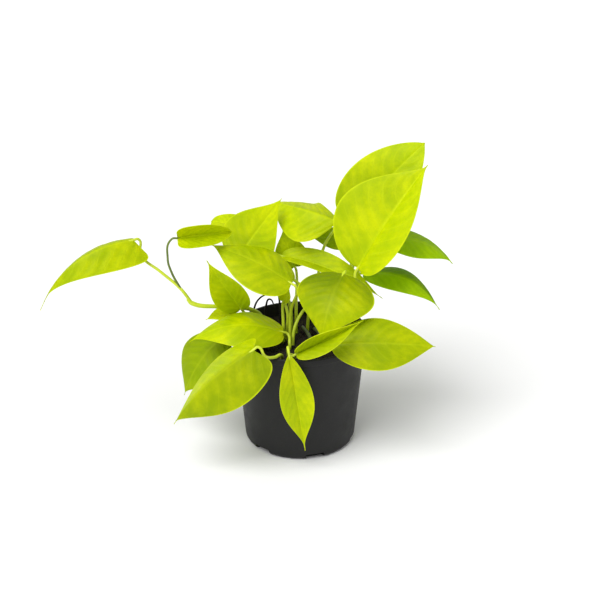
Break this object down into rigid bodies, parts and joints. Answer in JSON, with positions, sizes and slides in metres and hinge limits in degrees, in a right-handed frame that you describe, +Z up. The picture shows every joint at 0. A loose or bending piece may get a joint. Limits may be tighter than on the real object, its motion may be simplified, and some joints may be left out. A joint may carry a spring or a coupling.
{
  "type": "potted pothos plant",
  "caption": "Lime-leaved trailing pothos with heart-shaped leaves on long petioles, rooted in soil in a round black nursery pot.",
  "frame": {"origin": "middle of the pot's underside, on the surface it stands on", "axes": "+Z up the pot's axis, -Y towards the front of the plant where one leaf hangs down the pot, -X towards the long runner"},
  "size_m": [0.318, 0.1508, 0.235],
  "materials": {
    "pot": "matte, finely textured black nursery plastic",
    "soil": "matte, crumbly dark potting peat",
    "leaf_lime": "satin, leathery lime leaf",
    "leaf_shade": "satin, leathery yellow-green leaf",
    "leaf_deep": "satin, leathery mid-green leaf",
    "stalk": "satin, smooth pale green stalk",
    "old_stem": "matte, dull green old stem",
    "root": "matte, dark wiry root"
  },
  "bodies": {
    "root": {"pot": "pot", "soil": "soil", "runner_stem": "stalk", "cutting_1": "old_stem", "cutting_2": "old_stem", "cutting_3": "old_stem", "root_1": "root", "root_2": "root", "root_3": "root", "petiole_runner_tip": "stalk", "leaf_runner_tip": "leaf_lime", "petiole_runner_young": "stalk", "leaf_runner_young": "leaf_lime", "petiole_crown_back_left": "stalk", "leaf_crown_back_left": "leaf_lime", "petiole_crown_left": "stalk", "leaf_crown_left": "leaf_lime", "petiole_mid_broad": "stalk", "leaf_mid_broad": "leaf_lime", "petiole_mid_shade": "stalk", "leaf_mid_shade": "leaf_lime", "petiole_crown_top": "stalk", "leaf_crown_top": "leaf_lime", "petiole_crown_long": "stalk", "leaf_crown_long": "leaf_lime", "petiole_top_front": "stalk", "leaf_top_front": "leaf_lime", "petiole_top_rear": "stalk", "leaf_top_rear": "leaf_lime", "petiole_right_upper": "stalk", "leaf_right_upper": "leaf_deep", "petiole_right_lower": "stalk", "leaf_right_lower": "leaf_deep", "petiole_spoon": "stalk", "leaf_spoon": "leaf_lime", "petiole_rim_folded": "stalk", "leaf_rim_folded": "leaf_lime", "petiole_rim_right": "stalk", "leaf_rim_right": "leaf_lime", "petiole_rim_left_front": "stalk", "leaf_rim_left_front": "leaf_lime", "petiole_rim_hanging": "stalk", "leaf_rim_hanging": "leaf_lime", "petiole_rim_left": "stalk", "leaf_rim_left": "leaf_lime", "petiole_left_small": "stalk", "leaf_left_small": "leaf_lime", "petiole_left_shade": "stalk", "leaf_left_shade": "leaf_shade", "petiole_left_upright": "stalk", "leaf_left_upright": "leaf_lime", "petiole_back_right": "stalk", "leaf_back_right": "leaf_shade", "petiole_crown_small": "stalk", "leaf_crown_small": "leaf_lime"}
  },
  "joints": []
}
